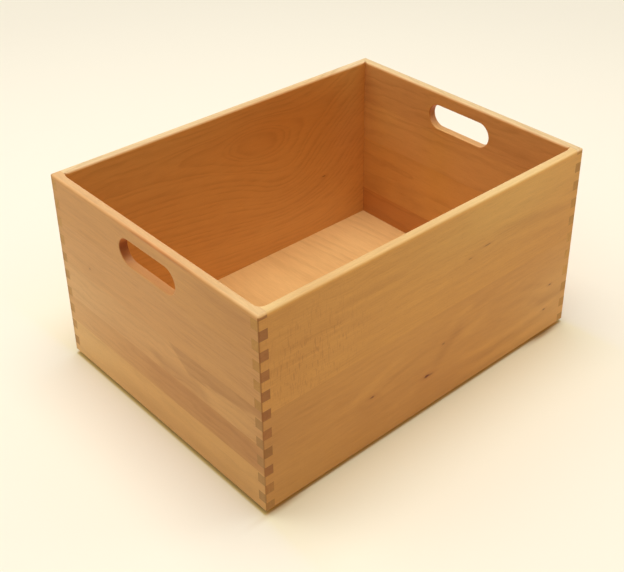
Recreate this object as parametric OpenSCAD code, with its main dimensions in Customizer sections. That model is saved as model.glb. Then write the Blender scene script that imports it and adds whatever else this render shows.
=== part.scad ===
// Open beech storage box with finger-jointed corners, a hand hole in each end and a plywood floor.
// X runs along the long walls, Y along the end walls, and Z up from the surface that the box stands on.

/* [Walls] */
// Outside length of the box
box_l = 400; // [250:1:600]
// Outside width of the box
box_w = 300; // [200:1:450]
// Height of the walls
wall_h = 202; // [195:1:320]
// Thickness of the walls
wall_t = 9; // [8:0.5:15]
// Gap between the walls and the surface that the box stands on
lift = 4; // [2:0.5:12]

/* [Corner joints] */
// Width of one finger
finger_w = 9.85; // [8:0.05:20]

/* [Glued boards] */
// Width of the lower board of a long wall
long_board_w = 103; // [60:1:140]
// Width of the uppermost stave of an end wall, which holds the hand hole
end_stave_5_w = 48; // [46:1:52]
// Width of the fourth stave of an end wall
end_stave_4_w = 46; // [30:1:52]
// Width of the third stave of an end wall
end_stave_3_w = 38; // [26:1:44]
// Width of the second stave of an end wall, above the lowest, which takes what is left
end_stave_2_w = 29; // [22:1:34]

/* [Edges] */
// Rounding along the rim, outside and inside
rim_r = 3.5; // [1:0.25:3.75]
// Rounding along the lower outside edges
base_r = 2; // [0.5:0.25:3]
// Rounding of the upright outside corners
corner_r = 1.5; // [0.5:0.25:3]
// Radius of the guide that the cutter for the inside of the rim runs on
guide_r = 6; // [4:0.5:10]

/* [Hand holes] */
// Length of a hand hole
hole_l = 82; // [60:1:120]
// Height of a hand hole
hole_h = 27; // [20:1:35]
// From the rim down to the middle of a hand hole
hole_drop = 29; // [25:1:40]
// Rounding around a hand hole
hole_r = 1; // [0.5:0.25:3.5]

/* [Floor] */
// From the lower edge of the walls up to the underside of the floor
floor_rise = 4.2; // [2.5:0.1:8]
// Thickness of the floor's outer veneers
veneer_t = 1.2; // [0.8:0.1:2]
// Thickness of the floor's core
core_t = 1.6; // [1:0.1:4]
// Depth of the groove that holds the floor
groove_d = 4.5; // [3:0.25:6]
// Play between the edge of the floor and the bottom of its groove
floor_play = 0.3; // [0.1:0.1:1]

/* [Feet] */
// Diameter of a foot where it meets the floor
foot_d = 20; // [12:1:36]
// How much narrower a foot is at its lower end
foot_taper = 3; // [0.5:0.5:6]
// From the inside of the walls to a foot
foot_inset = 9; // [3:1:30]

/* [Hidden] */
$fn = 64;

// How far a cutting shape runs past the wood
over = 1;
// Half the inside length and width
inner_x = box_l / 2 - wall_t;
inner_y = box_w / 2 - wall_t;
// Level of the rim
rim_z = lift + wall_h;
// Fingers stand on the lower edge of the walls, so the topmost one is cut off at the rim
fingers = ceil(wall_h / finger_w);
// Seams between the boards, counted from the lower edge of the walls
long_seams = [0, long_board_w, wall_h];
end_seam_4 = wall_h - end_stave_5_w;
end_seam_3 = end_seam_4 - end_stave_4_w;
end_seam_2 = end_seam_3 - end_stave_3_w;
end_seam_1 = end_seam_2 - end_stave_2_w;
end_seams = [0, end_seam_1, end_seam_2, end_seam_3, end_seam_4, wall_h];
// Floor
floor_z = lift + floor_rise;
floor_t = 2 * veneer_t + core_t;
floor_reach = groove_d - floor_play;
// Colours of the wood and the feet
warm_beech = [0.75, 0.55, 0.33];
pale_beech = [0.80, 0.62, 0.40];
rosy_beech = [0.72, 0.50, 0.31];
veneer_beech = [0.86, 0.64, 0.42];
core_birch = [0.80, 0.68, 0.50];
dark_rubber = [0.16, 0.14, 0.13];

// Outline that stands on the X axis, with its own rounding at the upper and the lower corners
module rounded_outline(w, h, top_r, low_r) {
  translate([low_r - w / 2, 0]) square([w - 2 * low_r, h - top_r]);
  translate([top_r - w / 2, low_r]) square([w - 2 * top_r, h - low_r]);
  translate([-w / 2, low_r]) square([w, h - top_r - low_r]);
  for (side = [-1, 1]) {
    translate([side * (w / 2 - top_r), h - top_r]) circle(r = top_r);
    translate([side * (w / 2 - low_r), low_r]) circle(r = low_r);
  }
}

// Whole block that the four walls are cut from, with its rounded edges
module box_block() {
  intersection() {
    translate([0, 0, lift]) rotate([90, 0, 0]) linear_extrude(height = box_w, center = true)
      rounded_outline(box_l, wall_h, rim_r, base_r);
    translate([0, 0, lift]) rotate([90, 0, 90]) linear_extrude(height = box_l, center = true)
      rounded_outline(box_w, wall_h, rim_r, base_r);
    translate([0, -box_w / 2, lift]) linear_extrude(height = wall_h)
      rounded_outline(box_l, box_w, corner_r, corner_r);
  }
}

// Half section of a round-over cutter whose guide runs at x = 0 to guide, level with the face it rounds
module cutter_section(guide, r) {
  difference() {
    translate([0, -r]) square([guide + r, r + over]);
    translate([guide + r, -r]) circle(r = r);
  }
}

// The cutter's straight pass along Y, which rounds an edge on its +X side
module cutter_pass(guide, r, run) {
  rotate([90, 0, 0]) linear_extrude(height = run, center = true) cutter_section(guide, r);
}

// The cutter's way around the inside of the rim: it can't reach into the four corners
module rim_cut() {
  way_x = inner_x - guide_r;
  way_y = inner_y - guide_r;
  translate([0, 0, rim_z]) for (side = [0, 180]) rotate([0, 0, side]) {
    translate([way_x, 0, 0]) cutter_pass(guide_r, rim_r, 2 * way_y);
    rotate([0, 0, 90]) translate([way_y, 0, 0]) cutter_pass(guide_r, rim_r, 2 * way_x);
    for (end = [-1, 1]) translate([way_x, end * way_y, 0]) rotate_extrude() cutter_section(guide_r, rim_r);
  }
}

// Rounded mouth of a hand hole on the face z = 0, with the hole's length along X
module hole_mouth() {
  straight = hole_l - hole_h;
  for (side = [-1, 1]) {
    rotate([0, 0, side * 90]) cutter_pass(hole_h / 2, hole_r, straight);
    translate([side * straight / 2, 0, 0]) rotate_extrude() cutter_section(hole_h / 2, hole_r);
  }
}

// Hand hole through both end walls, rounded on every face
module hole_cut() {
  straight = hole_l - hole_h;
  translate([0, 0, rim_z - hole_drop]) {
    rotate([90, 0, 90]) linear_extrude(height = box_l + 2 * over, center = true) {
      square([straight, hole_h], center = true);
      for (side = [-1, 1]) translate([side * straight / 2, 0]) circle(d = hole_h);
    }
    for (side = [0, 1]) mirror([side, 0, 0]) {
      translate([box_l / 2, 0, 0]) rotate([90, 0, 90]) hole_mouth();
      mirror([1, 0, 0]) translate([-inner_x, 0, 0]) rotate([90, 0, 90]) hole_mouth();
    }
  }
}

// Groove for the floor, which stops short of every outside face
module groove_cut() {
  translate([-inner_x - groove_d, -inner_y - groove_d, floor_z])
    cube([2 * (inner_x + groove_d), 2 * (inner_y + groove_d), floor_t]);
}

// Every second finger space from the one numbered first, at the four corners
module finger_spaces(first) {
  for (k = [first : 2 : fingers - 1]) {
    low = k == 0 ? -over : k * finger_w;
    high = k == fingers - 1 ? wall_h + over : (k + 1) * finger_w;
    for (x = [-1, 1], y = [-1, 1])
      translate([x * (inner_x + (wall_t + over) / 2), y * (inner_y + (wall_t + over) / 2), lift + (low + high) / 2])
        cube([wall_t + over, wall_t + over, high - low], center = true);
  }
}

// Level of a seam, run past the wood at the lower edge and at the rim
function seam_z(seams, i) = lift + seams[i] + (i == 0 ? -over : i == len(seams) - 1 ? over : 0);

// Board number i of a long wall, on the side of y
module long_board(y, i) {
  z = seam_z(long_seams, i);
  difference() {
    intersection() {
      box_block();
      translate([-box_l / 2 - over, y < 0 ? -box_w / 2 - over : inner_y, z])
        cube([box_l + 2 * over, wall_t + over, seam_z(long_seams, i + 1) - z]);
    }
    finger_spaces(0);
    groove_cut();
    rim_cut();
  }
}

// Stave number i of an end wall, on the side of x
module end_stave(x, i) {
  z = seam_z(end_seams, i);
  difference() {
    intersection() {
      box_block();
      translate([x < 0 ? -box_l / 2 - over : inner_x, -box_w / 2 - over, z])
        cube([wall_t + over, box_w + 2 * over, seam_z(end_seams, i + 1) - z]);
    }
    finger_spaces(1);
    groove_cut();
    rim_cut();
    hole_cut();
  }
}

// One layer of the floor, from its own level up
module floor_layer(z, t) {
  translate([-inner_x - floor_reach, -inner_y - floor_reach, z])
    cube([2 * (inner_x + floor_reach), 2 * (inner_y + floor_reach), t]);
}

// Foot under the corner of the floor on the sides of x and y
module foot(x, y) {
  in = foot_inset + foot_d / 2;
  translate([x * (inner_x - in), y * (inner_y - in), 0])
    cylinder(h = floor_z, d1 = foot_d - foot_taper, d2 = foot_d);
}

module front_lower_board() { color(warm_beech) long_board(-1, 0); }
module front_upper_board() { color(pale_beech) long_board(-1, 1); }
module back_lower_board() { color(warm_beech) long_board(1, 0); }
module back_upper_board() { color(pale_beech) long_board(1, 1); }
module left_stave_1() { color(pale_beech) end_stave(-1, 0); }
module left_stave_2() { color(rosy_beech) end_stave(-1, 1); }
module left_stave_3() { color(warm_beech) end_stave(-1, 2); }
module left_stave_4() { color(pale_beech) end_stave(-1, 3); }
module left_stave_5() { color(warm_beech) end_stave(-1, 4); }
module right_stave_1() { color(rosy_beech) end_stave(1, 0); }
module right_stave_2() { color(pale_beech) end_stave(1, 1); }
module right_stave_3() { color(warm_beech) end_stave(1, 2); }
module right_stave_4() { color(pale_beech) end_stave(1, 3); }
module right_stave_5() { color(warm_beech) end_stave(1, 4); }
module floor_bottom_veneer() { color(veneer_beech) floor_layer(floor_z, veneer_t); }
module floor_core() { color(core_birch) floor_layer(floor_z + veneer_t, core_t); }
module floor_top_veneer() { color(veneer_beech) floor_layer(floor_z + veneer_t + core_t, veneer_t); }
module foot_front_left() { color(dark_rubber) foot(-1, -1); }
module foot_front_right() { color(dark_rubber) foot(1, -1); }
module foot_back_left() { color(dark_rubber) foot(-1, 1); }
module foot_back_right() { color(dark_rubber) foot(1, 1); }

front_lower_board();
front_upper_board();
back_lower_board();
back_upper_board();
left_stave_1();
left_stave_2();
left_stave_3();
left_stave_4();
left_stave_5();
right_stave_1();
right_stave_2();
right_stave_3();
right_stave_4();
right_stave_5();
floor_top_veneer();
floor_core();
floor_bottom_veneer();
foot_front_left();
foot_front_right();
foot_back_left();
foot_back_right();
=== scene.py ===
import math

import bmesh
import bpy
from mathutils import Euler, Matrix, Vector


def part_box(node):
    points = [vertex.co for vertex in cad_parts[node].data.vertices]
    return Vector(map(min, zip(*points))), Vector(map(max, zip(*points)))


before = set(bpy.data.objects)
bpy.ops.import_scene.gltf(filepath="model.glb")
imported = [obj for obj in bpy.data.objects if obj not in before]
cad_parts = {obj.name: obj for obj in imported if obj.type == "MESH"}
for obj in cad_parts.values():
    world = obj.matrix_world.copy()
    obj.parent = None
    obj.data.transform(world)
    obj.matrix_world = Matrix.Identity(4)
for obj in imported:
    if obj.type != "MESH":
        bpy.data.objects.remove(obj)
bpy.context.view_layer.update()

mm = 0.001  # the frame is in metres, and the sizes below are in millimetres
scene = bpy.context.scene
scene.view_settings.view_transform = "Standard"


def fromScreen(red, green, blue):  # a colour as a screen shows it, 0 to 255, becomes a shader's linear one
    def linear(part):
        part = part / 255
        return part / 12.92 if part <= 0.04045 else ((part + 0.055) / 1.055) ** 2.4
    return (linear(red), linear(green), linear(blue), 1.0)


# Node helpers: every value may be a socket, which is linked, or a plain value, which is set
def addNode(tree, kind, **settings):
    node = tree.nodes.new(kind)
    for setting, value in settings.items():
        setattr(node, setting, value)
    return node


def plug(tree, value, socket):
    if isinstance(value, bpy.types.NodeSocket):
        tree.links.new(value, socket)
    else:
        socket.default_value = value


def calc(tree, operation, *values):
    node = addNode(tree, "ShaderNodeMath", operation=operation)
    for value, socket in zip(values, node.inputs):
        plug(tree, value, socket)
    return node.outputs[0]


def calcVector(tree, operation, *values):
    node = addNode(tree, "ShaderNodeVectorMath", operation=operation)
    for value, socket in zip(values, node.inputs):
        plug(tree, value, socket)
    return node.outputs["Value" if operation in ("LENGTH", "DOT_PRODUCT") else "Vector"]


def splitAxes(tree, vector):
    node = addNode(tree, "ShaderNodeSeparateXYZ")
    plug(tree, vector, node.inputs[0])
    return node.outputs


def joinAxes(tree, x=0.0, y=0.0, z=0.0):
    node = addNode(tree, "ShaderNodeCombineXYZ")
    for value, socket in zip((x, y, z), node.inputs):
        plug(tree, value, socket)
    return node.outputs[0]


def spread(tree, value, low, high, newLow=0.0, newHigh=1.0):  # smooth step from low to high
    node = addNode(tree, "ShaderNodeMapRange", interpolation_type="SMOOTHSTEP")
    for part, socket in zip((value, low, high, newLow, newHigh), node.inputs):
        plug(tree, part, socket)
    return node.outputs[0]


def fade(tree, value, low, high):  # the same, from 1 down to 0
    return spread(tree, value, low, high, 1.0, 0.0)


def noise(tree, place, stretch, detail=2.0, roughness=0.5):  # stretch is a patch's size in mm
    node = addNode(tree, "ShaderNodeTexNoise")
    plug(tree, calcVector(tree, "DIVIDE", place, stretch), node.inputs["Vector"])
    node.inputs["Scale"].default_value = 1.0
    node.inputs["Detail"].default_value = detail
    node.inputs["Roughness"].default_value = roughness
    return node.outputs["Fac"]


def mixColours(tree, share, first, second, blend="MIX"):
    node = addNode(tree, "ShaderNodeMix", data_type="RGBA", blend_type=blend)
    plug(tree, share, node.inputs[0])
    plug(tree, first, node.inputs[6])  # sockets 6 and 7, and output 2, are the node's colours
    plug(tree, second, node.inputs[7])
    return node.outputs[2]


def startGroup(name, inputs, outputs):
    tree = bpy.data.node_groups.new(name, "ShaderNodeTree")
    for label, kind, value in inputs:
        socket = tree.interface.new_socket(name=label, in_out="INPUT", socket_type="NodeSocket" + kind)
        socket.default_value = value
    for label in outputs:
        tree.interface.new_socket(name=label, in_out="OUTPUT", socket_type="NodeSocketFloat")
    given = addNode(tree, "NodeGroupInput").outputs
    result = addNode(tree, "NodeGroupOutput").inputs
    return tree, given, result


def useGroup(tree, group, **values):
    node = addNode(tree, "ShaderNodeGroup", node_tree=group)
    for label, value in values.items():
        plug(tree, value, node.inputs[label])
    return node.outputs


def startMaterial(name):
    material = bpy.data.materials.new(name)
    material.use_nodes = True
    tree = material.node_tree
    return material, tree, tree.nodes["Principled BSDF"], addNode(tree, "ShaderNodeTexCoord").outputs


def mixShaders(tree, share, first, second, output):  # share of the second one
    node = addNode(tree, "ShaderNodeMixShader")
    for value, socket in zip((share, first.outputs[0], second.outputs[0]), node.inputs):
        plug(tree, value, socket)
    plug(tree, node.outputs[0], tree.nodes[output].inputs["Surface"])


def inMillimetres(tree, coordinates):
    return calcVector(tree, "DIVIDE", coordinates["Object"], (mm, mm, mm))


def addBump(tree, shader, height, look):
    bump = addNode(tree, "ShaderNodeBump")
    bump.inputs["Strength"].default_value = look["bump"]
    bump.inputs["Distance"].default_value = look["bumpDepth"] * mm
    plug(tree, height, bump.inputs["Height"])
    plug(tree, bump.outputs[0], shader.inputs["Normal"])


def dress(node, material):  # a CAD node keeps its mesh and gets this material
    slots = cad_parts[node].data.materials
    slots.clear()
    slots.append(material)


# Shader groups for the wood. Grain coordinates are millimetres: X along the grain, Y into the depth, Z up.
# A patch is the size of a spot of noise along these three.
nowhere = (0.0, 0.0, 0.0)
grainLook = {
    "streakPatch": (18.0, 9.0, 5.0),   # frays a streak's edge
    "streakFray": 0.8,                 # how far, in half widths of the streak
    "streakFrayLeast": 0.2,            # a sharp edge frays by this share of it
    "streakEnds": 0.6,                 # share of a soft streak's length in which it fades out
    "swayPatch": (42.0, 13.0, 13.0),   # the rings sway slowly
    "swayBy": 8.0,                     # mm
    "tremblePatch": (20.0, 5.0, 5.0),  # and tremble
    "trembleBy": 2.8,
    "yearPace": 0.45,                  # how soon wide years follow narrow ones
    "yearSpread": 2.4,                 # and how unlike they are
    "summer": (0.2, 0.78),             # part of a year in which the wood grows darker
    "summerCurve": 1.3,
    "faintPatch": (40.0, 9.0, 9.0),    # in places the rings are faint
    "faintFrom": (0.34, 0.62),
    "faintShare": 0.25,
    "fleckFrom": 0.80,                 # noise above this is a fleck
    "fleckMore": 0.30,                 # how much lower that is for a share of 1
    "fleckSoft": 0.10,
    "knotPatch": (1.4, 0.7, 0.7),      # frays a knot's edge
    "knotFray": 0.9,
    "knotCore": (0.35, 1.0),           # where a knot's core and its cloud fade, in sizes of the knot
    "knotCloud": (0.6, 3.0),
    "endUpright": (0.1, 0.45),         # a surface that faces up more than this is no end grain
    "endFacing": (0.35, 0.75),         # and it faces along the grain at least as much as this
    "endTurn": 60.0,                   # millimetres of noise in a radian about the pith
    "endPatch": (0.5, 3.0, 1.0),       # so that narrow rays run outwards
}


def makeSpotGroup():  # a soft oval spot, 1 in its middle
    tree, given, result = startGroup(
        "softSpot",
        [("Grain", "Vector", nowhere), ("Centre", "Vector", nowhere), ("Size", "Vector", (10.0, 10.0, 10.0))],
        ["Amount"],
    )
    away = calcVector(tree, "SUBTRACT", given["Grain"], given["Centre"])
    away = calcVector(tree, "DIVIDE", away, given["Size"])
    squared = calcVector(tree, "DOT_PRODUCT", away, away)
    plug(tree, calc(tree, "EXPONENT", calc(tree, "MULTIPLY", squared, -1.0)), result["Amount"])
    return tree


def makeStreakGroup(look):  # a long streak that can bow: 1 along its middle, 0 beside it and past its ends
    tree, given, result = startGroup(
        "longStreak",
        [("Grain", "Vector", nowhere), ("Centre", "Vector", nowhere), ("Along", "Vector", nowhere),
         ("Across", "Vector", nowhere), ("Bow", "Float", 0.0), ("Edge", "Float", 1.0),
         ("Ragged", "Float", 0.8)],
        ["Amount"],
    )
    away = calcVector(tree, "SUBTRACT", given["Grain"], given["Centre"])
    along = calcVector(tree, "DOT_PRODUCT", away, given["Along"])
    across = calcVector(tree, "DOT_PRODUCT", away, given["Across"])
    bowed = calc(tree, "MULTIPLY_ADD", calc(tree, "MULTIPLY", along, along), given["Bow"], across)
    ragged = calc(tree, "SUBTRACT", noise(tree, given["Grain"], look["streakPatch"]), 0.5)
    bowed = calc(tree, "MULTIPLY_ADD", ragged, given["Ragged"], bowed)
    beside = fade(tree, calc(tree, "ABSOLUTE", bowed), calc(tree, "SUBTRACT", 1.0, given["Edge"]),
                  calc(tree, "ADD", 1.0, given["Edge"]))
    ends = calc(tree, "MULTIPLY_ADD", given["Edge"], -look["streakEnds"], 1.0)
    past = fade(tree, calc(tree, "ABSOLUTE", along), ends, 1.0)
    plug(tree, calc(tree, "MULTIPLY", beside, past), result["Amount"])
    return tree


def makeRingGroup(look):  # yearly rings around the pith, pushed aside where the tree had a swelling
    tree, given, result = startGroup(
        "growthRings",
        [("Grain", "Vector", nowhere), ("Pith", "Vector", nowhere), ("Push", "Float", 0.0),
         ("Ring Width", "Float", 4.0), ("Sway", "Float", 1.0)],
        ["Latewood", "Band"],
    )
    axes = splitAxes(tree, given["Pith"])
    radius = calcVector(tree, "LENGTH", joinAxes(tree, y=axes["Y"], z=axes["Z"]))
    radius = calc(tree, "SUBTRACT", radius, given["Push"])
    slow = noise(tree, given["Grain"], look["swayPatch"], detail=1.0)
    quick = noise(tree, given["Grain"], look["tremblePatch"])
    sway = calc(tree, "ADD", calc(tree, "MULTIPLY_ADD", slow, look["swayBy"], -look["swayBy"] / 2),
                calc(tree, "MULTIPLY_ADD", quick, look["trembleBy"], -look["trembleBy"] / 2))
    radius = calc(tree, "MULTIPLY_ADD", sway, given["Sway"], radius)
    year = calc(tree, "DIVIDE", radius, given["Ring Width"])
    # No two years are alike: some rings are wide and some close together
    rows = addNode(tree, "ShaderNodeTexNoise", noise_dimensions="1D")
    plug(tree, calc(tree, "MULTIPLY", year, look["yearPace"]), rows.inputs["W"])
    rows.inputs["Scale"].default_value = 1.0
    rows.inputs["Detail"].default_value = 1.0
    year = calc(tree, "MULTIPLY_ADD", rows.outputs["Fac"], look["yearSpread"], year)
    season = calc(tree, "FRACT", year)
    summer = spread(tree, season, *look["summer"])
    winter = fade(tree, season, look["summer"][1], 1.0)
    late = calc(tree, "MULTIPLY", calc(tree, "POWER", summer, look["summerCurve"]), winter)
    faint = noise(tree, given["Grain"], look["faintPatch"])
    late = calc(tree, "MULTIPLY", late, spread(tree, faint, *look["faintFrom"], look["faintShare"], 1.0))
    plug(tree, late, result["Latewood"])
    plug(tree, rows.outputs["Fac"], result["Band"])
    return tree


def makeFleckGroup(look):  # the small dark dashes of the rays
    tree, given, result = startGroup(
        "rayFlecks",
        [("Grain", "Vector", nowhere), ("Size", "Vector", (2.0, 0.4, 0.4)), ("Share", "Float", 0.5)],
        ["Amount"],
    )
    dashes = noise(tree, given["Grain"], given["Size"], detail=1.0, roughness=0.4)
    lower = calc(tree, "MULTIPLY", given["Share"], look["fleckMore"])
    start = calc(tree, "SUBTRACT", look["fleckFrom"], lower)
    plug(tree, spread(tree, dashes, start, calc(tree, "ADD", start, look["fleckSoft"])), result["Amount"])
    return tree


def makeKnotGroup(look):  # a pin knot: a dark core with a browner cloud about it, drawn out along the grain
    tree, given, result = startGroup(
        "pinKnot",
        [("Grain", "Vector", nowhere), ("Centre", "Vector", nowhere), ("Size", "Vector", (4.0, 6.0, 1.5))],
        ["Core", "Cloud"],
    )
    away = calcVector(tree, "SUBTRACT", given["Grain"], given["Centre"])
    away = calcVector(tree, "DIVIDE", away, given["Size"])
    ragged = noise(tree, given["Grain"], look["knotPatch"])
    ragged = calc(tree, "MULTIPLY_ADD", ragged, look["knotFray"], -look["knotFray"] / 2)
    distance = calc(tree, "ADD", calcVector(tree, "LENGTH", away), ragged)
    plug(tree, fade(tree, distance, *look["knotCore"]), result["Core"])
    plug(tree, fade(tree, distance, *look["knotCloud"]), result["Cloud"])
    return tree


def makeEndGrainGroup(look):  # where an upright surface cuts across the grain, with rays from the pith
    tree, given, result = startGroup(
        "endGrain",
        [("Facing", "Float", 0.0), ("Up", "Float", 0.0), ("Pith", "Vector", nowhere)],
        ["Mask", "Rays"],
    )
    upright = fade(tree, calc(tree, "ABSOLUTE", given["Up"]), *look["endUpright"])
    cut = spread(tree, given["Facing"], *look["endFacing"])
    plug(tree, calc(tree, "MULTIPLY", cut, upright), result["Mask"])
    axes = splitAxes(tree, given["Pith"])
    angle = calc(tree, "ARCTAN2", axes["Z"], axes["Y"])
    squared = calc(tree, "ADD", calc(tree, "POWER", axes["Y"], 2.0), calc(tree, "POWER", axes["Z"], 2.0))
    turned = joinAxes(tree, x=calc(tree, "MULTIPLY", angle, look["endTurn"]), y=calc(tree, "SQRT", squared))
    plug(tree, noise(tree, turned, look["endPatch"], detail=3.0), result["Rays"])
    return tree


def makeJointGroup(sizes):  # hairlines where the fingers meet, from the same sizes as the joint
    tree, given, result = startGroup(
        "fingerJoints", [("Place", "Vector", nowhere), ("Odd", "Float", 0.0)], ["Line", "Tone"])
    line = sizes["line"]
    core = line * sizes["lineCore"]
    axes = splitAxes(tree, calcVector(tree, "ABSOLUTE", given["Place"]))
    level = calc(tree, "DIVIDE", calc(tree, "SUBTRACT", axes["Z"], sizes["lift"]), sizes["fingerWidth"])
    beyondX = calc(tree, "SUBTRACT", axes["X"], sizes["innerX"])
    beyondY = calc(tree, "SUBTRACT", axes["Y"], sizes["innerY"])
    inCorner = calc(tree, "MULTIPLY", calc(tree, "GREATER_THAN", beyondX, -line),
                    calc(tree, "GREATER_THAN", beyondY, -line))
    nearest = calc(tree, "ABSOLUTE", calc(tree, "SUBTRACT", calc(tree, "ROUND", level), level))
    flat = fade(tree, calc(tree, "MULTIPLY", nearest, sizes["fingerWidth"]), core, line)
    finger = calc(tree, "FLOOR", level)
    row = calc(tree, "MODULO", finger, 2.0)
    mine = calc(tree, "ABSOLUTE", calc(tree, "SUBTRACT", row, given["Odd"]))
    eitherSide = calc(tree, "MAXIMUM", fade(tree, calc(tree, "ABSOLUTE", beyondX), core, line),
                      fade(tree, calc(tree, "ABSOLUTE", beyondY), core, line))
    upright = calc(tree, "MULTIPLY", eitherSide, mine)
    plug(tree, calc(tree, "MULTIPLY", inCorner, calc(tree, "MAXIMUM", flat, upright)), result["Line"])
    each = addNode(tree, "ShaderNodeTexWhiteNoise", noise_dimensions="1D")  # every finger has its own tone
    plug(tree, finger, each.inputs["W"])
    plug(tree, each.outputs["Value"], result["Tone"])
    return tree


def makePlaceGroup(sizes):  # the inside, the rim, its flat top, the upright corners and the hand holes
    tree, given, result = startGroup(
        "boxPlace", [("Place", "Vector", nowhere)], ["Inside", "Rim", "Top", "Corner", "Hole"])
    slack, top, wall = sizes["slack"], sizes["top"], sizes["wallThickness"]
    axes = splitAxes(tree, calcVector(tree, "ABSOLUTE", given["Place"]))
    inside = calc(tree, "MULTIPLY", calc(tree, "LESS_THAN", axes["X"], sizes["innerX"] + slack),
                  calc(tree, "LESS_THAN", axes["Y"], sizes["innerY"] + slack))
    plug(tree, inside, result["Inside"])
    rimStart = top - sizes["rimRounding"]
    rimFrom, rimTo = sizes["rimFade"]
    plug(tree, spread(tree, axes["Z"], rimStart + rimFrom, top - rimTo), result["Rim"])
    topFrom, topTo = sizes["topFade"]
    plug(tree, spread(tree, axes["Z"], top - topFrom, top - topTo), result["Top"])
    shortX = calc(tree, "SUBTRACT", sizes["innerX"] + wall, axes["X"])
    shortY = calc(tree, "SUBTRACT", sizes["innerY"] + wall, axes["Y"])
    edge = fade(tree, calc(tree, "MAXIMUM", shortX, shortY), *sizes["arrisDepth"])
    arrisFrom, arrisTo = sizes["arrisHeight"]
    higher = spread(tree, axes["Z"], arrisFrom * top, arrisTo * top, sizes["arrisLow"], 1.0)
    higher = calc(tree, "MULTIPLY", higher, fade(tree, axes["Z"], rimStart, rimStart + sizes["arrisTop"]))
    plug(tree, calc(tree, "MULTIPLY", edge, higher), result["Corner"])
    within = calc(tree, "MULTIPLY", spread(tree, shortX, slack, sizes["lip"]),
                  calc(tree, "LESS_THAN", shortX, wall - slack))
    byHole = calc(tree, "MULTIPLY", calc(tree, "LESS_THAN", axes["Y"], sizes["holeReach"]),
                  calc(tree, "LESS_THAN", axes["Z"], rimStart - sizes["underRim"]))
    plug(tree, calc(tree, "MULTIPLY", within, byHole), result["Hole"])
    return tree


boxSizes = {  # mm
    "fingerWidth": 9.85,
    "wallThickness": 9.0,
    "rimRounding": 3.5,
    "line": 0.22,               # half width of the hairline between two pieces
    "lineCore": 0.3,            # share of it that is fully dark
    "lip": 1.0,                 # width of the rounded lip of a hand hole
    "holeReach": 50.0,          # half the width of the middle part that holds the hand hole
    "underRim": 1.0,            # the hand hole's part ends this far under the rounding
    "slack": 0.05,              # a face that lies on a limit belongs inside it
    "rimFade": (0.3, 0.4),      # the rim's tone starts above the rounding's start and is full under the top
    "topFade": (0.9, 0.1),      # the same for its flat top, both under the top
    "arrisDepth": (0.5, 1.3),   # how deep a corner's dark edge goes into the walls
    "arrisHeight": (0.2, 0.7),  # it grows darker between these shares of the height
    "arrisLow": 0.35,           # from this share at the foot
    "arrisTop": 1.5,            # and it ends this far above the rounding's start
}
wallLow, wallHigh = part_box("front_lower_board")[0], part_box("front_upper_board")[1]
boxSizes["lift"] = wallLow.z / mm
boxSizes["top"] = wallHigh.z / mm
boxSizes["innerX"] = wallHigh.x / mm - boxSizes["wallThickness"]
boxSizes["innerY"] = -wallLow.y / mm - boxSizes["wallThickness"]

softSpot = makeSpotGroup()
longStreak = makeStreakGroup(grainLook)
growthRings = makeRingGroup(grainLook)
rayFlecks = makeFleckGroup(grainLook)
pinKnot = makeKnotGroup(grainLook)
endGrain = makeEndGrainGroup(grainLook)
fingerJoints = makeJointGroup(boxSizes)
boxPlace = makePlaceGroup(boxSizes)
print("wood groups ready")


# Oiled beech, as colours look under the scene's light
oiledBeech = {
    "deepening": (-0.75, -1.0, -1.25),  # how fast red, green and blue go as the figure gets darker
    "inside": (241, 238, 222),          # painted shade that darkens the inside of the box
    "fleck": (158, 88, 38),
    "knot": (98, 30, 2),
    "cloud": (176, 102, 48),            # about a knot
    "cloudShare": 0.3,
    "line": (92, 54, 24),               # hairline between two pieces
    "lineShare": 0.25,
    "lineOnRim": -0.2,                  # it shows less on the rim
    "arris": (146, 84, 28),             # a dark line along an upright corner's edge
    "arrisShare": 0.55,
    "seedStep": (517.0, 91.0, 0.0),     # a board's noise lies this far from the last one's, mm
    "latewoodMean": 0.2,
    "cloudPatch": (90.0, 30.0, 26.0),
    "mottlePatch": (26.0, 5.0, 4.0),
    "fibrePatch": (16.0, 0.9, 0.9),
    "rayPatch": (0.9, 1.5, 8.0),        # upright rays on a board that was sawn along them
    "rayShare": 0.74,
    "endRays": 0.25,                    # how much the rays show in the end grain
    "roughness": 0.40,
    "fibreRoughness": 0.16,
    "endRoughness": 0.12,
    "fleckHeight": -0.5,                # beside a fibre's height of 1
    "lineHeight": -2.5,
    "bump": 0.35,
    "bumpDepth": 0.05,                  # mm
}


def addSpots(tree, grain, spots, total=0.0):  # each (centre, size, amount)
    for centre, size, amount in spots:
        one = useGroup(tree, softSpot, Grain=grain, Centre=centre, Size=size)["Amount"]
        total = calc(tree, "MULTIPLY_ADD", one, amount, total)
    return total


def addStreaks(tree, grain, streaks, total):  # each (start, end, width, bow, amount) and perhaps (edge, lean)
    fray, least = grainLook["streakFray"], grainLook["streakFrayLeast"]
    for start, end, width, bow, amount, *rest in streaks:
        edge, lean = rest or (1.0, 0.0)
        run = Vector(end) - Vector(start)
        half, run = run.length / 2, run.normalized()
        middle = (Vector(start) + Vector(end)) / 2
        across = Vector((-run.y, run.x)) * 2 / width
        along = (run + lean * Vector((-run.y, run.x))) / half
        one = useGroup(tree, longStreak, Grain=grain, Centre=(middle.x, 0.0, middle.y),
                       Along=(along.x, 0.0, along.y), Across=(across.x, 0.0, across.y),
                       Bow=2 * bow / width, Edge=edge, Ragged=fray * min(edge + least, 1.0))
        total = calc(tree, "MULTIPLY_ADD", one["Amount"], amount, total)
    return total


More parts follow.
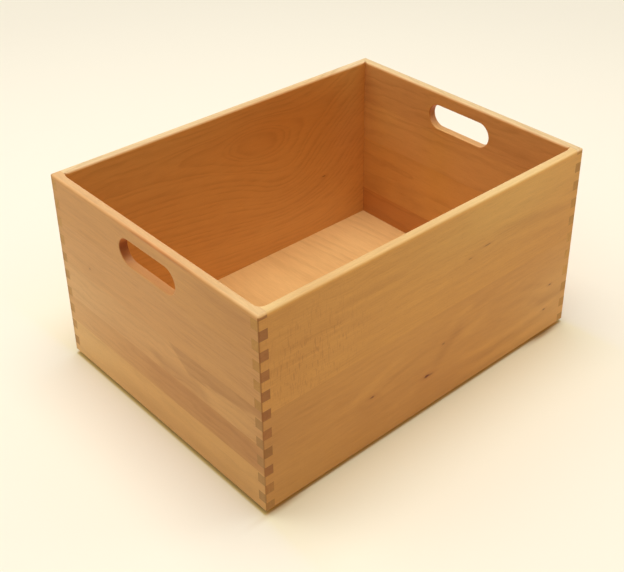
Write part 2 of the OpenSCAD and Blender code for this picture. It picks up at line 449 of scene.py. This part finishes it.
def addTints(tree, grain, tints, colour):  # each (centre, size, change of red, green and blue)
    for centre, size, change in tints:
        one = useGroup(tree, softSpot, Grain=grain, Centre=centre, Size=size)["Amount"]
        factor = calcVector(tree, "MULTIPLY_ADD", one, change, (1.0, 1.0, 1.0))
        colour = calcVector(tree, "MULTIPLY", colour, factor)
    return colour


def makeBoardMaterial(name, look, shared):
    material, tree, shader, coordinates = startMaterial(name)
    alongX = look["along"] == "X"

    # Grain coordinates: the boards of the end walls and the floor's veneers lie along Y
    toGrain = addNode(tree, "ShaderNodeMapping")
    plug(tree, coordinates["Object"], toGrain.inputs["Vector"])
    toGrain.inputs["Scale"].default_value = (1 / mm, 1 / mm, 1 / mm)
    toGrain.inputs["Rotation"].default_value = (0.0, 0.0, 0.0 if alongX else -math.pi / 2)
    grain = toGrain.outputs[0]
    own = calcVector(tree, "ADD", grain, look["seed"] * Vector(shared["seedStep"]))

    # The pith lies beside the board, a little aslant
    slant = Euler([math.radians(angle) for angle in (0.0, *look["slant"])])
    toPith = addNode(tree, "ShaderNodeMapping")
    plug(tree, grain, toPith.inputs["Vector"])
    toPith.inputs["Rotation"].default_value = slant
    toPith.inputs["Location"].default_value = -(slant.to_matrix() @ Vector((0.0, *look["pith"])))
    raised = joinAxes(tree, z=addSpots(tree, grain, look.get("lifts", [])))
    pith = calcVector(tree, "SUBTRACT", toPith.outputs[0], raised)

    # The figure says how much darker the wood gets: rings, bands of years, clouds, mottle, fibres and streaks
    push = addSpots(tree, grain, look.get("swells", []))
    rings = useGroup(tree, growthRings, Grain=own, Pith=pith, Push=push,
                     **{"Ring Width": look["ringWidth"], "Sway": look["sway"]})
    cloud = noise(tree, own, shared["cloudPatch"])
    mottle = noise(tree, own, shared["mottlePatch"], detail=3.0, roughness=0.6)
    fibre = noise(tree, own, shared["fibrePatch"], detail=3.0, roughness=0.65)
    late = calc(tree, "SUBTRACT", rings["Latewood"], shared["latewoodMean"])
    figure = calc(tree, "MULTIPLY", late, look["contrast"])
    for share, value in ((look["bands"], rings["Band"]), (look["clouds"], cloud),
                         (look["mottle"], mottle), (look["fibres"], fibre)):
        figure = calc(tree, "MULTIPLY_ADD", calc(tree, "SUBTRACT", 0.5, value), share, figure)
    figure = addSpots(tree, grain, look.get("spots", []), figure)
    figure = addStreaks(tree, grain, look.get("streaks", []), figure)
    shade = calcVector(tree, "MULTIPLY_ADD", figure, shared["deepening"], (1.0, 1.0, 1.0))
    colour = calcVector(tree, "MULTIPLY", shade, fromScreen(*look["tone"])[:3])

    fleckColour = fromScreen(*shared["fleck"])
    flecks = useGroup(tree, rayFlecks, Grain=own, Size=look["fleckSize"], Share=look["fleckShare"])["Amount"]
    colour = mixColours(tree, calc(tree, "MULTIPLY", flecks, look["fleckDark"]), colour, fleckColour)
    for centre, size, amount in look.get("rayPatches", []):
        patch = useGroup(tree, softSpot, Grain=grain, Centre=centre, Size=size)["Amount"]
        rays = useGroup(tree, rayFlecks, Grain=own, Size=shared["rayPatch"], Share=shared["rayShare"])
        share = calc(tree, "MULTIPLY", calc(tree, "MULTIPLY", patch, rays["Amount"]), amount)
        colour = mixColours(tree, share, colour, fleckColour)
    for centre, size, amount in look.get("knots", []):
        knot = useGroup(tree, pinKnot, Grain=grain, Centre=centre, Size=size)
        share = calc(tree, "MULTIPLY", knot["Cloud"], shared["cloudShare"] * amount)
        colour = mixColours(tree, share, colour, fromScreen(*shared["cloud"]))
        share = calc(tree, "MULTIPLY", knot["Core"], amount)
        colour = mixColours(tree, share, colour, fromScreen(*shared["knot"]))

    # Painted shade darkens the inside, and painted light makes the rounded rim paler, with painted shade a
    # little darker on its flat top
    place = inMillimetres(tree, coordinates)
    zone = useGroup(tree, boxPlace, Place=place)
    share = calc(tree, "MULTIPLY", zone["Inside"], look["insideShare"])
    colour = mixColours(tree, share, colour, fromScreen(*shared["inside"]), blend="MULTIPLY")
    topShaded = calc(tree, "MULTIPLY_ADD", zone["Top"], -look["topShade"], 1.0)
    rim = calcVector(tree, "MULTIPLY", shade, fromScreen(*look["rim"])[:3])
    rim = calcVector(tree, "MULTIPLY", rim, topShaded)
    colour = mixColours(tree, zone["Rim"], colour, rim)

    # End grain is darker, because it drinks the oil
    along = (1.0, 0.0, 0.0) if alongX else (0.0, 1.0, 0.0)
    facing = calc(tree, "ABSOLUTE", calcVector(tree, "DOT_PRODUCT", coordinates["Normal"], along))
    up = calcVector(tree, "DOT_PRODUCT", coordinates["Normal"], (0.0, 0.0, 1.0))
    ends = useGroup(tree, endGrain, Facing=facing, Up=up, Pith=pith)
    joint = useGroup(tree, fingerJoints, Place=place, Odd=1.0 if alongX else 0.0)
    uneven = calc(tree, "MULTIPLY_ADD", joint["Tone"], look["endUneven"], 1.0 - 0.5 * look["endUneven"])
    rays = calc(tree, "SUBTRACT", ends["Rays"], 0.5)
    uneven = calc(tree, "MULTIPLY_ADD", rays, shared["endRays"], uneven)
    endWood = calcVector(tree, "MULTIPLY", uneven, fromScreen(*look["ends"])[:3])
    endWood = calcVector(tree, "MULTIPLY", endWood, shade)
    endWood = addTints(tree, grain, look.get("endTints", []), endWood)
    colour = mixColours(tree, ends["Mask"], colour, endWood)

    # Tints of single places, painted shade and light in the hand holes, then the hairlines and the corners'
    # dark edges over them
    colour = addTints(tree, grain, look.get("tints", []), colour)
    colour = mixColours(tree, zone["Hole"], colour, addTints(tree, grain, look.get("holeLightAndShade", []), colour))
    shows = calc(tree, "MULTIPLY_ADD", zone["Rim"], shared["lineOnRim"], shared["lineShare"])
    share = calc(tree, "MULTIPLY", joint["Line"], shows)
    colour = mixColours(tree, share, colour, fromScreen(*shared["line"]))
    share = calc(tree, "MULTIPLY", zone["Corner"], shared["arrisShare"])
    colour = mixColours(tree, share, colour, fromScreen(*shared["arris"]))
    plug(tree, colour, shader.inputs["Base Color"])

    shader.inputs["Specular IOR Level"].default_value = look["shine"]
    rough = calc(tree, "MULTIPLY_ADD", fibre, shared["fibreRoughness"], shared["roughness"])
    rough = calc(tree, "MULTIPLY_ADD", ends["Mask"], shared["endRoughness"], rough)
    plug(tree, rough, shader.inputs["Roughness"])
    height = calc(tree, "MULTIPLY_ADD", flecks, shared["fleckHeight"], fibre)
    height = calc(tree, "MULTIPLY_ADD", joint["Line"], shared["lineHeight"], height)
    addBump(tree, shader, height, shared)
    return material


# What a board looks like unless its own entry says otherwise
plainBoard = {
    "along": "X", "seed": 1.0,
    "tone": (224, 157, 78), "ends": (192, 142, 77), "endUneven": 0.16,
    # rim is a paler colour painted as light on the rim, and the last number darkens its flat top as painted
    # shade
    "rim": (236, 188, 120), "insideShare": 1.0, "topShade": 0.17,
    "pith": (60.0, 60.0),      # depth and height of the pith, mm
    "slant": (0.6, 0.4),       # degrees
    "ringWidth": 4.6, "sway": 1.0, "shine": 0.38,
    "contrast": 0.10, "bands": 0.10, "clouds": 0.14, "mottle": 0.14, "fibres": 0.26,
    "fleckSize": (2.2, 0.35, 0.35), "fleckShare": 0.45, "fleckDark": 0.25,
}
wide = 900.0  # a spot this wide reaches through the board
endless = 9000.0  # and one this high is a stripe from the bottom to the top
rounding = ((0.0, 0.0, 203.3), (wide, wide, 2.2), -0.15)  # painted light: the rim's rounding is painted paler
farCorner = (-0.24, -0.20, -0.18)  # darkens the edge of the upright corner at the back left

# Left wall: a place's first number runs from the front, -150, to the back, 150
nearEnd = ((-185.0, 0.0, 100.0), (80.0, wide, wide), 0.14)   # it is darker towards the front
farEnd = ((185.0, 0.0, 40.0), (95.0, wide, 120.0), -0.16)    # and paler low at the back
leftTints = [((-110.0, 0.0, 110.0), (70.0, wide, 130.0), (-0.05, -0.06, -0.13)),
             ((135.0, 0.0, 60.0), (75.0, wide, 70.0), (0.04, 0.13, 0.28)),
             ((150.0, 200.0, 100.0), (3.0, 4.0, wide), farCorner)]
rimTints = [((0.0, 200.0, 203.0), (wide, 3.0, 2.0), (-0.04, -0.09, -0.14)),
            ((-18.0, 200.0, 203.6), (48.0, 3.0, 1.6), (-0.06, -0.30, -0.45)),  # reddish stroke
            ((-150.0, 195.0, 207.0), (58.0, 9.0, 3.5), (0.20, 0.40, 0.58))]    # pale near the corner
leftHoleShade = [((45.0, 0.0, 182.0), (14.0, wide, 13.0), (-0.38, -0.68, -0.82)),  # painted shade at the hole's ends
                 ((39.0, 0.0, 169.8), (10.0, wide, 6.5), (-0.43, -0.68, -1.0)),
                 ((-45.0, 0.0, 182.0), (14.0, wide, 13.0), (-0.15, -0.35, -0.50)),
                 ((0.0, 0.0, 163.5), (60.0, wide, 3.0), (-0.11, -0.24, -0.29))]    # and painted shade on its lower edge
leftStave = {
    "along": "Y", "ends": (182, 118, 56), "rim": (232, 180, 120),
    "spots": [nearEnd, farEnd], "tints": leftTints,
}

# Right wall, whose inside shows, counted in the same way
rightHoleLightAndShade = [((45.0, 0.0, 182.0), (14.0, wide, 13.0), (-0.34, -0.64, -1.0)),  # painted shade at the hole's far end
                  ((0.0, 0.0, 163.5), (60.0, wide, 3.0), (0.24, 0.42, 0.62))]      # painted light on its lower edge
insideTints = [((26.0, -191.0, 130.0), (22.0, 5.0, 80.0), (0.0, 0.0, -0.15)),
               ((116.0, -191.0, 140.0), (30.0, 5.0, 40.0), (0.07, 0.13, 0.06))]
fadedEnds = [((-150.0, 0.0, 84.0), (20.0, wide, 46.0), (0.20, 0.27, 0.34))]  # fingers that hardly show
rightStave = {
    "along": "Y", "ends": (196, 138, 62), "rim": (235, 198, 142), "contrast": 0.14,
    "slant": (-3.0, 1.0), "ringWidth": 6.0, "tints": insideTints, "endTints": fadedEnds,
}

# Back wall, whose inside has a swirl where the tree had swellings
faintEnds = [((0.0, 0.0, 212.0), (wide, wide, 50.0), (0.09, 0.10, 0.10))]  # upper fingers are paler
backSwells = [((26.0, 141.0, 160.0), (42.0, 60.0, 30.0), 22.0),
              ((70.0, 141.0, 112.0), (46.0, 60.0, 44.0), 22.0),
              ((-45.0, 141.0, 170.0), (34.0, 60.0, 18.0), 8.0),
              ((85.0, 141.0, 60.0), (150.0, 60.0, 80.0), 16.0),
              ((240.0, 141.0, 0.0), (110.0, 60.0, 90.0), 48.0)]
backLifts = [((230.0, 0.0, 0.0), (85.0, wide, endless), 62.0),
             ((-150.0, 0.0, 0.0), (110.0, wide, endless), 12.0)]
backShades = [((30.0, 141.0, 200.0), (190.0, 5.0, 50.0), 0.13),
              ((60.0, 141.0, 10.0), (190.0, 5.0, 60.0), -0.13)]
backTints = [((80.0, 141.0, 175.0), (110.0, 5.0, 45.0), (-0.06, -0.20, -0.37)),
             ((80.0, 141.0, 20.0), (160.0, 5.0, 65.0), (0.03, 0.17, 0.58)),
             ((170.0, 141.0, 185.0), (22.0, 5.0, 40.0), (0.06, 0.19, 0.38)),
             ((168.0, 141.0, 125.0), (35.0, 5.0, 45.0), (0.0, 0.02, 0.20)),
             ((-200.0, 150.0, 100.0), (4.0, 3.0, wide), farCorner)]
backBoard = {
    "seed": 3.0, "pith": (125.0, 160.0), "ringWidth": 6.2, "contrast": 0.13, "sway": 0.5,
    "ends": (204, 152, 84), "rim": (247, 211, 156), "endTints": faintEnds,
    "swells": backSwells, "lifts": backLifts, "spots": backShades, "tints": backTints,
}

# Knots are (centre, size, darkness); a streak is (start, end, width, bow, darkness) and perhaps (edge, lean)
boards = {
    "front_lower_board": {
        "seed": 1.0, "tone": (215, 150, 69), "pith": (-205.0, 40.0), "ringWidth": 5.5, "contrast": 0.05,
        "tints": [((200.0, 0.0, 44.0), (90.0, wide, 52.0), (0.0, 0.09, 0.42)),
                  ((-190.0, 0.0, 15.0), (60.0, wide, 40.0), (0.0, 0.05, 0.12)),
                  ((-190.0, 0.0, 80.0), (40.0, wide, 40.0), (-0.07, -0.06, 0.0)),
                  ((20.0, 0.0, 25.0), (90.0, wide, 30.0), (-0.02, -0.05, -0.05))],
        "spots": [((-215.0, 0.0, 70.0), (95.0, wide, 90.0), 0.155),   # darker at the left end
                  ((215.0, 0.0, 18.0), (85.0, wide, 70.0), -0.19),    # and paler low at the right one
                  ((-20.0, 0.0, 16.0), (150.0, wide, 60.0), 0.10),
                  ((-84.0, 0.0, 46.0), (22.0, wide, 16.0), 0.08)],
        "streaks": [
            ((-116.0, 60.0), (-28.0, 88.0), 8.0, 2.0, -0.10),   # light crescents beside the knots
            ((10.0, 84.0), (58.0, 97.0), 8.0, 2.0, -0.07),
            ((34.0, 59.0), (80.0, 77.0), 11.0, -3.0, -0.08),
            ((70.0, 84.0), (182.0, 60.0), 7.0, 9.0, -0.05),
            ((-62.0, 28.0), (-14.0, 37.0), 11.0, -2.0, -0.07),
            ((-6.0, 43.0), (46.0, 87.0), 11.0, 0.0, 0.11),      # dark bands that run between them
            ((40.0, 86.0), (104.0, 103.0), 8.0, 3.0, 0.06),
            ((-78.0, 60.0), (2.0, 77.0), 5.0, 3.0, 0.10),
            ((60.0, 92.0), (192.0, 60.0), 7.0, 10.0, 0.06),
            ((84.0, 72.0), (172.0, 50.0), 6.0, 8.0, 0.05),
            ((8.0, 34.0), (207.0, 34.0), 8.0, -7.0, -0.13),     # light streaks low on the right
            ((20.0, 16.0), (192.0, 16.0), 7.0, -2.0, -0.12),
            ((30.0, 25.0), (200.0, 25.0), 6.0, -3.0, 0.05),
            ((144.0, 46.0), (208.0, 44.0), 9.0, 0.0, 0.14),
            ((148.0, 66.0), (208.0, 72.0), 14.0, 0.0, -0.06),
            ((-176.0, 90.0), (-126.0, 88.0), 4.0, 0.0, 0.06),
            ((-190.0, 72.0), (-110.0, 76.0), 6.0, 0.0, -0.04),
        ],
        "knots": [((-78.0, -150.0, 58.0), (3.6, 6.0, 1.3), 0.7),
                  ((-8.0, -150.0, 42.5), (4.4, 6.0, 1.9), 0.95),
                  ((-3.0, -150.0, 42.0), (5.0, 6.0, 1.0), 0.5),
                  ((13.0, -150.0, 69.0), (2.6, 6.0, 1.2), 0.5),
                  ((171.0, -150.0, 61.0), (2.4, 6.0, 1.0), 0.75),
                  ((165.5, -150.0, 33.0), (2.8, 6.0, 0.9), 0.7)],
    },
    "front_upper_board": {
        "seed": 2.0, "tone": (219, 154, 70), "ends": (194, 142, 70), "pith": (-40.0, 330.0), "ringWidth": 3.4,
        "contrast": 0.06, "fleckShare": 0.5, "endTints": faintEnds,
        "tints": [((90.0, 0.0, 185.0), (110.0, wide, 35.0), (0.0, 0.12, 0.26)),
                  ((-192.0, -145.0, 207.0), (26.0, 9.0, 3.5), (0.16, 0.32, 0.48))],
        "spots": [((-215.0, 0.0, 150.0), (85.0, wide, 90.0), 0.125),
                  ((130.0, 0.0, 200.0), (110.0, wide, 32.0), -0.12), rounding],
        "streaks": [
            ((-135.0, 173.0), (-35.0, 172.0), 5.0, 0.0, 0.08),
            ((-192.0, 161.0), (-105.0, 159.0), 4.0, 0.0, 0.06),
            ((-132.0, 167.0), (-20.0, 166.0), 5.0, 0.0, -0.05),
            ((-172.0, 141.0), (-80.0, 140.0), 4.0, 0.0, -0.05),
            ((-160.0, 152.0), (-70.0, 150.0), 4.0, 0.0, 0.05),
            ((-190.0, 116.0), (-60.0, 113.0), 4.0, 0.0, 0.06),
            ((-70.0, 135.0), (40.0, 137.0), 5.0, 0.0, -0.05),
            ((-100.0, 189.0), (60.0, 187.0), 5.0, 0.0, 0.05),
            ((30.0, 149.0), (78.0, 156.0), 6.0, 0.0, 0.06),
            ((62.0, 164.0), (202.0, 147.0), 15.0, 3.0, 0.10),   # dark curved band towards the right end
            ((60.0, 172.0), (206.0, 158.0), 8.0, 4.0, -0.09),   # with light ones above and below it
            ((70.0, 151.0), (206.0, 138.0), 7.0, 1.0, -0.06),
            ((50.0, 143.0), (206.0, 127.0), 7.0, 0.0, 0.05),
        ],
        "rayPatches": [((-150.0, -150.0, 143.0), (54.0, wide, 44.0), 0.38)],
        "knots": [((66.0, -150.0, 154.0), (6.0, 6.0, 0.9), 0.5),
                  ((43.0, -150.0, 149.0), (4.0, 6.0, 0.8), 0.4)],
    },
    "back_lower_board": {**backBoard, "knots": [((128.0, 141.0, 83.0), (3.4, 6.0, 1.2), 0.5)]},
    "back_upper_board": backBoard,
    "left_stave_1": {
        **leftStave, "seed": 5.0, "tone": (225, 170, 97), "pith": (300.0, 10.0),
        "endTints": [((-150.0, 0.0, 10.0), (20.0, wide, 24.0), (0.04, 0.25, 0.22))],
        "streaks": [((-160.0, 13.0), (110.0, 15.0), 18.0, 0.0, 0.12),
                    ((-150.0, 36.0), (150.0, 34.0), 12.0, 0.0, -0.03)],
    },
    "left_stave_2": {
        **leftStave, "seed": 6.0, "tone": (214, 155, 88), "pith": (150.0, 90.0),
        "endTints": [((-150.0, 0.0, 68.0), (20.0, wide, 8.0), (-0.18, -0.09, -0.18))],
        "streaks": [((-170.0, 62.0), (32.0, 60.0), 36.0, 0.0, 0.12, 0.6, 0.0),
                    ((30.0, 62.0), (190.0, 62.0), 50.0, 0.0, -0.05)],
    },
    "left_stave_3": {
        **leftStave, "seed": 7.0, "tone": (222, 166, 99), "pith": (280.0, 150.0),
        "streaks": [
            ((-30.0, 105.0), (-156.0, 122.0), 34.0, 0.0, 0.19, 0.12, -1.0),  # dark wedge under the seam
            ((6.0, 78.0), (-84.0, 84.0), 20.0, 0.0, 0.17, 0.7, -1.0),        # and a soft one below it
            ((-68.0, 82.0), (-150.0, 86.0), 15.0, 0.0, -0.06),
            ((160.0, 80.0), (20.0, 82.0), 26.0, 0.0, 0.04),
        ],
    },
    "left_stave_4": {
        **leftStave, "seed": 8.0, "tone": (219, 161, 94), "pith": (215.0, 60.0),
        "ringWidth": 3.6, "contrast": 0.09,
        "streaks": [((140.0, 122.0), (0.0, 116.0), 5.0, 2.0, 0.07),
                    ((100.0, 114.0), (-30.0, 117.0), 4.0, -2.0, -0.06),
                    ((150.0, 130.0), (60.0, 127.0), 8.0, 0.0, 0.06)],
        "knots": [((99.0, 200.0, 126.0), (1.6, 6.0, 1.4), 0.4)],
    },
    "left_stave_5": {
        **leftStave, "seed": 9.0, "tone": (218, 159, 90), "pith": (170.0, 260.0), "contrast": 0.08,
        "spots": [nearEnd, farEnd, rounding], "tints": leftTints + rimTints, "holeLightAndShade": leftHoleShade,
        "streaks": [((26.0, 202.6), (-20.0, 203.0), 2.6, 0.0, 0.2),
                    ((-12.0, 202.8), (-70.0, 202.6), 2.4, 0.0, 0.16),
                    ((-60.0, 200.0), (-152.0, 184.0), 14.0, 0.0, 0.05),
                    ((150.0, 186.0), (60.0, 178.0), 9.0, 2.0, 0.05),
                    ((30.0, 203.0), (-34.0, 203.0), 9.0, 0.0, -0.06)],
    },
    "right_stave_1": {**rightStave, "seed": 10.0, "tone": (210, 142, 75), "pith": (-150.0, 20.0)},
    "right_stave_2": {**rightStave, "seed": 11.0, "tone": (223, 161, 88), "pith": (-250.0, 60.0)},
    "right_stave_3": {**rightStave, "seed": 12.0, "tone": (223, 160, 87), "pith": (-170.0, 95.0)},
    "right_stave_4": {**rightStave, "seed": 13.0, "tone": (222, 161, 93), "pith": (-170.0, 130.0)},
    "right_stave_5": {**rightStave, "seed": 14.0, "tone": (216, 154, 89), "pith": (-120.0, 230.0),
                      "spots": [rounding], "holeLightAndShade": rightHoleLightAndShade},
    "floor_top_veneer": {
        "along": "Y", "seed": 15.0, "tone": (233, 184, 115), "insideShare": 0.0, "pith": (-20.0, -30.0),
        "tints": [((110.0, -150.0, 12.0), (80.0, 90.0, wide), (0.03, 0.08, 0.15))],
        "slant": (0.5, -6.0), "ringWidth": 12.0, "sway": 0.4, "fibres": 0.34,
        "fleckShare": 0.4, "fleckDark": 0.15,
    },
    "floor_core": {"seed": 16.0, "tone": (226, 190, 140), "insideShare": 0.0},
    "floor_bottom_veneer": {"along": "Y", "seed": 17.0, "tone": (236, 184, 114), "insideShare": 0.0,
                            "pith": (30.0, -40.0), "ringWidth": 9.0},
}
for node, ownLook in boards.items():
    dress(node, makeBoardMaterial(node + "_beech", {**plainBoard, **ownLook}, oiledBeech))
print("boards, staves and floor have their wood")


rubberLook = {
    "colour": (44, 38, 35),
    "dust": (88, 80, 72),
    "dustShare": 0.35,
    "dustPatch": (3.0, 3.0, 2.0),   # mm
    "dustFrom": (0.45, 0.75),
    "roughness": 0.6,
    "dustRoughness": 0.3,
    "grainPatch": (0.5, 0.5, 0.5),  # mm
    "bump": 0.4,
    "bumpDepth": 0.05,              # mm
}


def makeRubberMaterial(look):
    material, tree, shader, coordinates = startMaterial("foot_rubber")
    place = inMillimetres(tree, coordinates)
    dusty = noise(tree, place, look["dustPatch"], detail=4.0)
    dust = spread(tree, dusty, *look["dustFrom"], 0.0, look["dustShare"])
    colour = mixColours(tree, dust, fromScreen(*look["colour"]), fromScreen(*look["dust"]))
    plug(tree, colour, shader.inputs["Base Color"])
    rough = calc(tree, "MULTIPLY_ADD", dust, look["dustRoughness"], look["roughness"])
    plug(tree, rough, shader.inputs["Roughness"])
    addBump(tree, shader, noise(tree, place, look["grainPatch"], detail=3.0), look)
    return material


rubber = makeRubberMaterial(rubberLook)
for node in ("foot_front_left", "foot_front_right", "foot_back_left", "foot_back_right"):
    dress(node, rubber)
print("feet have their rubber")


# Stage: a pale warm floor that turns into the same plain colour far from the box
stageLook = {
    "size": 30.0,                    # metres, as all lengths here but the contacts
    "shown": (254, 245, 224),        # what the camera sees
    "bounced": (236, 226, 208),      # what lights the box
    "underFront": (241, 189, 94),    # painted shade on the paper in the gap under the front and back walls
    "underEnds": (222, 196, 124),    # and under the end walls
    "underInset": (0.0006, 0.0032),  # where it starts to fade, inside the walls' edges along X and Y
    "underFade": (0.0028, 0.0044),   # how far it takes to fade
    "underTurn": 0.002,              # how softly one turns into the other at a corner
    "beside": (255, 238, 130),       # the wood's glow on the paper
    "besideShare": 0.25,
    "besideReach": (0.006, 0.06),
    "contactShadows": [((168.0, -150.2, 0.0), (23.0, 3.2, wide), (-0.44, -0.58, -0.72)),  # painted shadows on the paper by the feet, in mm
                 ((-182.0, -150.2, 0.0), (24.0, 3.2, wide), (-0.24, -0.34, -0.46))],
    "fadeFrom": 0.9,                 # from the box's middle
    "fadeTo": 1.6,
    "roughness": 0.9,
    "shine": 0.1,
}


def makeStage(look):
    mesh = bpy.data.meshes.new("studio_floor")
    shape = bmesh.new()
    bmesh.ops.create_grid(shape, x_segments=1, y_segments=1, size=look["size"] / 2)
    shape.to_mesh(mesh)
    shape.free()
    floor = bpy.data.objects.new("studio_floor", mesh)
    scene.collection.objects.link(floor)
    material, tree, shader, coordinates = startMaterial("studio_paper")
    rays = addNode(tree, "ShaderNodeLightPath").outputs
    shownColour = fromScreen(*look["shown"])

    # How far outside the box's outline, along X and along Y
    halfBox = Vector((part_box("front_lower_board")[1].x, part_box("back_lower_board")[1].y, 0.0))
    outside = calcVector(tree, "SUBTRACT", calcVector(tree, "ABSOLUTE", coordinates["Object"]), halfBox)
    away = calcVector(tree, "MAXIMUM", outside, nowhere)
    away = calcVector(tree, "LENGTH", calcVector(tree, "DIVIDE", away, (*look["besideReach"], 1.0)))
    near = calc(tree, "EXPONENT", calc(tree, "MULTIPLY", away, -1.0))
    beside = calc(tree, "MULTIPLY", near, look["besideShare"])
    shown = mixColours(tree, beside, shownColour, fromScreen(*look["beside"]))

    # Painted shade on the paper in the gap under the walls, with another tone under the end walls
    past = calcVector(tree, "ADD", outside, (*look["underInset"], 0.0))
    past = calcVector(tree, "MAXIMUM", past, nowhere)
    past = calcVector(tree, "LENGTH", calcVector(tree, "DIVIDE", past, (*look["underFade"], 1.0)))
    under = fade(tree, past, 0.0, 1.0)
    axes = splitAxes(tree, outside)
    turn = look["underTurn"]
    byEnds = spread(tree, calc(tree, "SUBTRACT", axes["X"], axes["Y"]), -turn, turn)
    gapColour = mixColours(tree, byEnds, fromScreen(*look["underFront"]), fromScreen(*look["underEnds"]))
    shown = mixColours(tree, under, shown, gapColour)
    # painted shadows on the paper by the front feet
    shown = addTints(tree, inMillimetres(tree, coordinates), look["contactShadows"], shown)

    # Seen from below the paper is plain, and what lights the box is a little darker than what the camera sees
    below = addNode(tree, "ShaderNodeNewGeometry").outputs["Backfacing"]
    shown = mixColours(tree, below, shown, shownColour)
    colour = mixColours(tree, rays["Is Camera Ray"], fromScreen(*look["bounced"]), shown)
    plug(tree, colour, shader.inputs["Base Color"])
    shader.inputs["Roughness"].default_value = look["roughness"]
    shader.inputs["Specular IOR Level"].default_value = look["shine"]

    # Far away the lit paper turns into its plain colour
    glow = addNode(tree, "ShaderNodeEmission")
    glow.inputs["Color"].default_value = shownColour
    far = spread(tree, calcVector(tree, "LENGTH", coordinates["Object"]), look["fadeFrom"], look["fadeTo"])
    seen = calc(tree, "MAXIMUM", rays["Is Camera Ray"], rays["Is Glossy Ray"])
    mixShaders(tree, calc(tree, "MULTIPLY", far, seen), shader, glow, "Material Output")
    mesh.materials.append(material)


lightPlan = {
    "strength": 0.44,              # of the world, which is white
    "colour": (1.0, 1.0, 1.0),
    "aim": (0.0, 0.0, 0.1),
    "softboxes": {                 # place and size in metres, power in watts
        "overhead": {"place": (0.0, 0.0, 2.2), "size": 1.4, "power": 27.6},
        "backLeft": {"place": (-1.0, 1.0, 1.69), "size": 1.2, "power": 7.0},
        "frontRight": {"place": (1.6, -1.0, 1.0), "size": 1.0, "power": 3.5},
    },
}


def makeWorld(plan, shown):
    world = bpy.data.worlds.new("studio_light")
    world.use_nodes = True
    scene.world = world
    tree = world.node_tree
    lit = tree.nodes["Background"]
    lit.inputs["Color"].default_value = (*plan["colour"], 1.0)
    lit.inputs["Strength"].default_value = plan["strength"]
    seen = addNode(tree, "ShaderNodeBackground")
    seen.inputs["Color"].default_value = fromScreen(*shown)
    rays = addNode(tree, "ShaderNodeLightPath").outputs
    share = calc(tree, "MAXIMUM", rays["Is Camera Ray"], rays["Is Glossy Ray"])
    mixShaders(tree, share, lit, seen, "World Output")


def makeSoftbox(name, box, plan):
    light = bpy.data.lights.new(name, "AREA")
    light.shape = "DISK"
    light.size = box["size"]
    light.energy = box["power"]
    light.color = plan["colour"]
    holder = bpy.data.objects.new(name, light)
    scene.collection.objects.link(holder)
    holder.location = box["place"]
    away = Vector(box["place"]) - Vector(plan["aim"])
    holder.rotation_euler = away.to_track_quat("Z", "Y").to_euler()


makeStage(stageLook)
makeWorld(lightPlan, stageLook["shown"])
for name, box in lightPlan["softboxes"].items():
    makeSoftbox("softbox_" + name, box, lightPlan)
print("stage and lights ready")


# Camera, worked out from the straight edges in the photograph
cameraView = {
    "place": (-604.4, -675.7, 691.7),  # mm
    "yaw": 42.968,                     # degrees from +Y towards +X
    "pitch": 30.702,                   # degrees downwards
    "roll": 0.146,
    "focal": 1100.5,                   # pixels
    "axis": (342.05, 208.28),          # where the lens axis meets the picture, pixels from its corner
    "picture": (624, 572),
    "sensor": 36.0,
    "clip": (0.01, 100.0),             # metres
}


def makeCamera(view):
    lens = bpy.data.cameras.new("camera")
    width, height = view["picture"]
    lens.sensor_width = view["sensor"]
    lens.lens = view["focal"] * view["sensor"] / width
    lens.shift_x = (width / 2 - view["axis"][0]) / width
    lens.shift_y = (view["axis"][1] - height / 2) / width
    lens.clip_start, lens.clip_end = view["clip"]
    camera = bpy.data.objects.new("camera", lens)
    scene.collection.objects.link(camera)
    turn = (Matrix.Rotation(-math.radians(view["yaw"]), 4, "Z")
            @ Matrix.Rotation(math.radians(90 - view["pitch"]), 4, "X")
            @ Matrix.Rotation(math.radians(view["roll"]), 4, "Z"))
    camera.matrix_world = Matrix.Translation(Vector(view["place"]) * mm) @ turn
    scene.camera = camera


makeCamera(cameraView)
print("camera ready")
